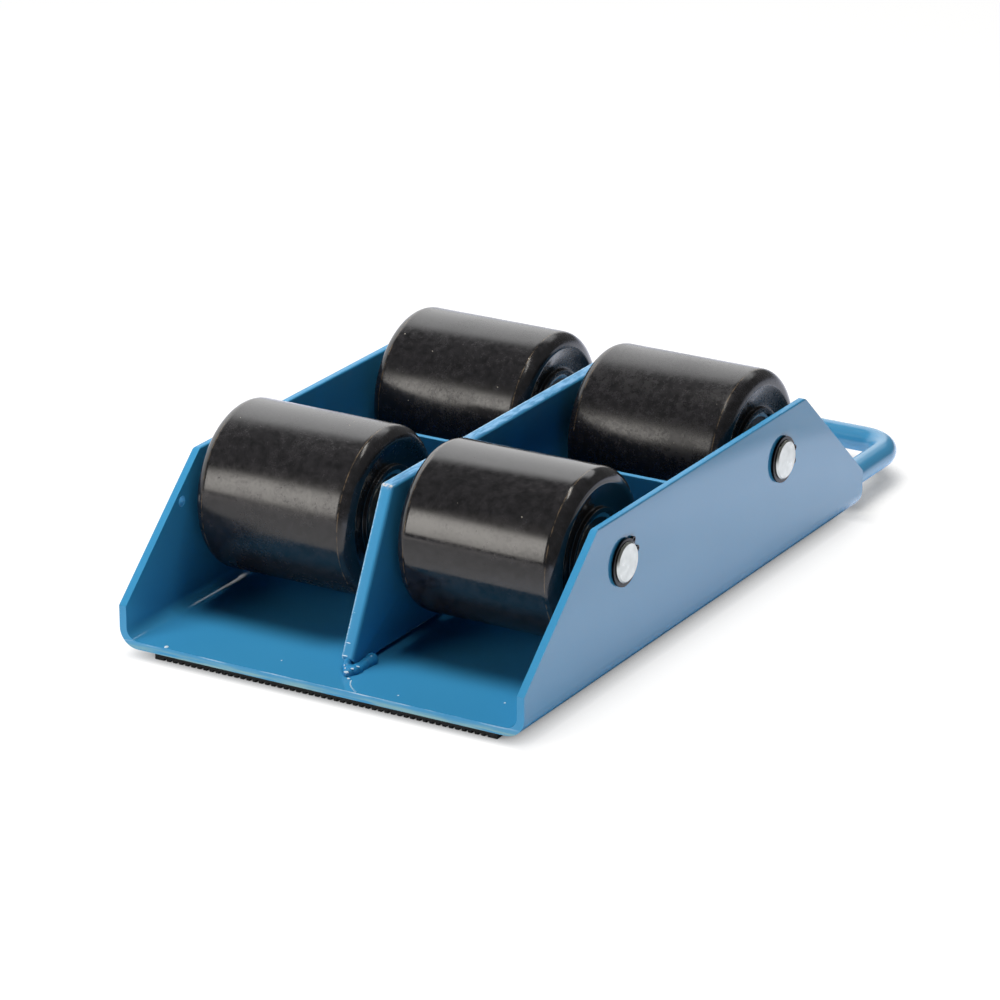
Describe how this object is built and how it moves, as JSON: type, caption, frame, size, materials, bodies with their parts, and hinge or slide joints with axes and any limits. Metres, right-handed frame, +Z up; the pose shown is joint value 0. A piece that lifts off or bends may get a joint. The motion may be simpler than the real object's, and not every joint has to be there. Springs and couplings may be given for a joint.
{
  "type": "machine skate",
  "caption": "Low steel machine skate with wide rollers in a folded channel, a rubber load pad and a tow handle; shown lying on its pad with the rollers up.",
  "frame": {"origin": "middle of the rubber pad's load face, on the surface that the skate lies on", "axes": "+X along the axles to the right seen from the end without a handle, +Y along the skate to the tow handle, +Z up from the pad to the rollers"},
  "size_m": [0.2302, 0.422, 0.1042],
  "materials": {
    "blue_paint": "gloss",
    "pad_rubber": "matt, ribbed",
    "bright_steel": "turned",
    "spring_steel": "oiled black",
    "black_nylon": "turned, satin",
    "bearing_steel": "polished",
    "cage_steel": "pressed",
    "seal_rubber": "matt"
  },
  "bodies": {
    "frame": {"channel_plate": "blue_paint", "divider_plate": "blue_paint", "left_cross_plate": "blue_paint", "right_cross_plate": "blue_paint", "tow_handle": "blue_paint", "rubber_pad": "pad_rubber", "divider_front_weld": "blue_paint", "divider_rear_weld": "blue_paint", "cross_plate_welds": "blue_paint", "handle_welds": "blue_paint"},
    "front_axle_set": {"front_axle": "bright_steel", "front_left_circlip": "spring_steel", "front_left_inner_rings": "bearing_steel", "front_left_spacer_tube": "bright_steel", "front_left_side_bushes": "bright_steel", "front_right_circlip": "spring_steel", "front_right_inner_rings": "bearing_steel", "front_right_spacer_tube": "bright_steel", "front_right_side_bushes": "bright_steel"},
    "rear_axle_set": {"rear_axle": "bright_steel", "rear_left_circlip": "spring_steel", "rear_left_inner_rings": "bearing_steel", "rear_left_spacer_tube": "bright_steel", "rear_left_side_bushes": "bright_steel", "rear_right_circlip": "spring_steel", "rear_right_inner_rings": "bearing_steel", "rear_right_spacer_tube": "bright_steel", "rear_right_side_bushes": "bright_steel"},
    "front_left_roller_set": {"front_left_roller": "black_nylon", "front_left_outer_rings": "bearing_steel", "front_left_seals": "seal_rubber"},
    "front_left_ball_set": {"front_left_balls": "bearing_steel", "front_left_ball_cages": "cage_steel"},
    "front_right_roller_set": {"front_right_roller": "black_nylon", "front_right_outer_rings": "bearing_steel", "front_right_seals": "seal_rubber"},
    "front_right_ball_set": {"front_right_balls": "bearing_steel", "front_right_ball_cages": "cage_steel"},
    "rear_left_roller_set": {"rear_left_roller": "black_nylon", "rear_left_outer_rings": "bearing_steel", "rear_left_seals": "seal_rubber"},
    "rear_left_ball_set": {"rear_left_balls": "bearing_steel", "rear_left_ball_cages": "cage_steel"},
    "rear_right_roller_set": {"rear_right_roller": "black_nylon", "rear_right_outer_rings": "bearing_steel", "rear_right_seals": "seal_rubber"},
    "rear_right_ball_set": {"rear_right_balls": "bearing_steel", "rear_right_ball_cages": "cage_steel"}
  },
  "joints": [
    {"name": "front_axle_spin", "type": "hinge", "parent": "frame", "child": "front_axle_set", "pos_m": [0, -0.081, 0.0617], "axis": [1, 0, 0], "continuous": true},
    {"name": "rear_axle_spin", "type": "hinge", "parent": "frame", "child": "rear_axle_set", "pos_m": [0, 0.081, 0.0617], "axis": [1, 0, 0], "continuous": true},
    {"name": "front_left_roller_spin", "type": "hinge", "parent": "front_axle_set", "child": "front_left_roller_set", "pos_m": [-0.05885, -0.081, 0.0617], "axis": [1, 0, 0], "continuous": true},
    {"name": "front_left_ball_orbit", "type": "hinge", "parent": "front_axle_set", "child": "front_left_ball_set", "pos_m": [-0.05885, -0.081, 0.0617], "axis": [1, 0, 0], "continuous": true},
    {"name": "front_right_roller_spin", "type": "hinge", "parent": "front_axle_set", "child": "front_right_roller_set", "pos_m": [0.05515, -0.081, 0.0617], "axis": [1, 0, 0], "continuous": true},
    {"name": "front_right_ball_orbit", "type": "hinge", "parent": "front_axle_set", "child": "front_right_ball_set", "pos_m": [0.05515, -0.081, 0.0617], "axis": [1, 0, 0], "continuous": true},
    {"name": "rear_left_roller_spin", "type": "hinge", "parent": "rear_axle_set", "child": "rear_left_roller_set", "pos_m": [-0.05885, 0.081, 0.0617], "axis": [1, 0, 0], "continuous": true},
    {"name": "rear_left_ball_orbit", "type": "hinge", "parent": "rear_axle_set", "child": "rear_left_ball_set", "pos_m": [-0.05885, 0.081, 0.0617], "axis": [1, 0, 0], "continuous": true},
    {"name": "rear_right_roller_spin", "type": "hinge", "parent": "rear_axle_set", "child": "rear_right_roller_set", "pos_m": [0.05515, 0.081, 0.0617], "axis": [1, 0, 0], "continuous": true},
    {"name": "rear_right_ball_orbit", "type": "hinge", "parent": "rear_axle_set", "child": "rear_right_ball_set", "pos_m": [0.05515, 0.081, 0.0617], "axis": [1, 0, 0], "continuous": true}
  ],
  "couplings": [
    {"joint": "front_left_ball_orbit", "follows": "front_left_roller_spin", "ratio": 0.6024},
    {"joint": "front_right_ball_orbit", "follows": "front_right_roller_spin", "ratio": 0.6024},
    {"joint": "rear_left_ball_orbit", "follows": "rear_left_roller_spin", "ratio": 0.6024},
    {"joint": "rear_right_ball_orbit", "follows": "rear_right_roller_spin", "ratio": 0.6024}
  ]
}
